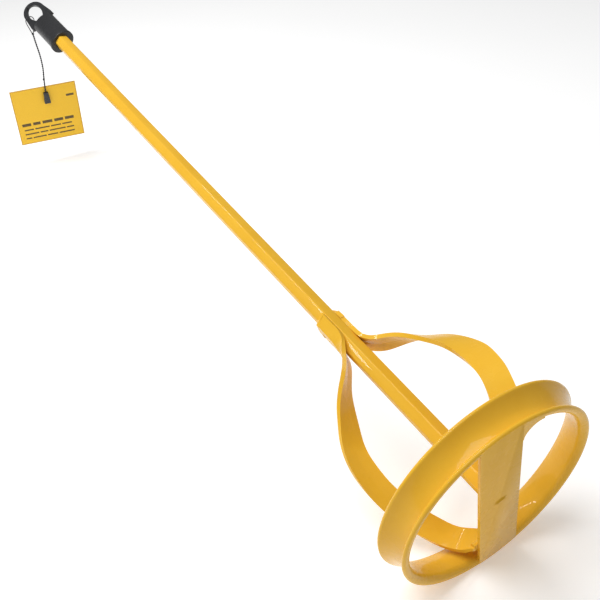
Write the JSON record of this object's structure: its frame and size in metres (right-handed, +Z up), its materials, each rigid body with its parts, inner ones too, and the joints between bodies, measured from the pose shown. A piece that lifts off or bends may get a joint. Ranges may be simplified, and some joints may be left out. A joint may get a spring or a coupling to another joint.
{
  "type": "mortar mixing paddle",
  "caption": "Drill-driven mixing paddle: hexagonal shaft, flared ring with a crossbar, two bowed and twisted blades, a plastic hanging cap and a blank hang tag.",
  "frame": {"origin": "centre of the shank's end face, inside the hanging cap", "axes": "+X along the shaft from the shank's end to the mixing head, +Z up with the shaft held level"},
  "size_m": [0.6518, 0.128, 0.1988],
  "materials": {
    "yellow_paint": "glossy enamel over steel",
    "black_plastic": "satin soft plastic",
    "black_thread": "twisted thread",
    "printed_card": "smooth printed card",
    "lock_plastic": "small moulded lock"
  },
  "bodies": {
    "paddle": {"hex_shaft": "yellow_paint", "mixing_ring": "yellow_paint", "crossbar": "yellow_paint", "blade_a": "yellow_paint", "blade_b": "yellow_paint", "blade_top_welds": "yellow_paint", "blade_foot_welds": "yellow_paint", "shaft_foot_weld": "yellow_paint", "plug_weld": "yellow_paint", "corner_weld": "yellow_paint"},
    "cap": {"hang_cap": "black_plastic"},
    "string": {"tag_string": "black_thread", "front_thread": "black_thread", "back_thread": "black_thread"},
    "tag": {"tag_card": "printed_card", "tag_lock": "lock_plastic"}
  },
  "joints": [
    {"name": "cap_pull", "type": "slide", "parent": "paddle", "child": "cap", "axis": [-1, 0, 0], "range_m": [0, 0.045]},
    {"name": "tag_swing", "type": "hinge", "parent": "cap", "child": "string", "pos_m": [-0.021, -0.00718, -0.00426], "axis": [1, 0, 0], "range_deg": [-75, 75]},
    {"name": "tag_spin", "type": "hinge", "parent": "string", "child": "tag", "pos_m": [-0.021, -0.00718, -0.0798], "axis": [0, 0, 1], "range_deg": [-180, 180]}
  ]
}
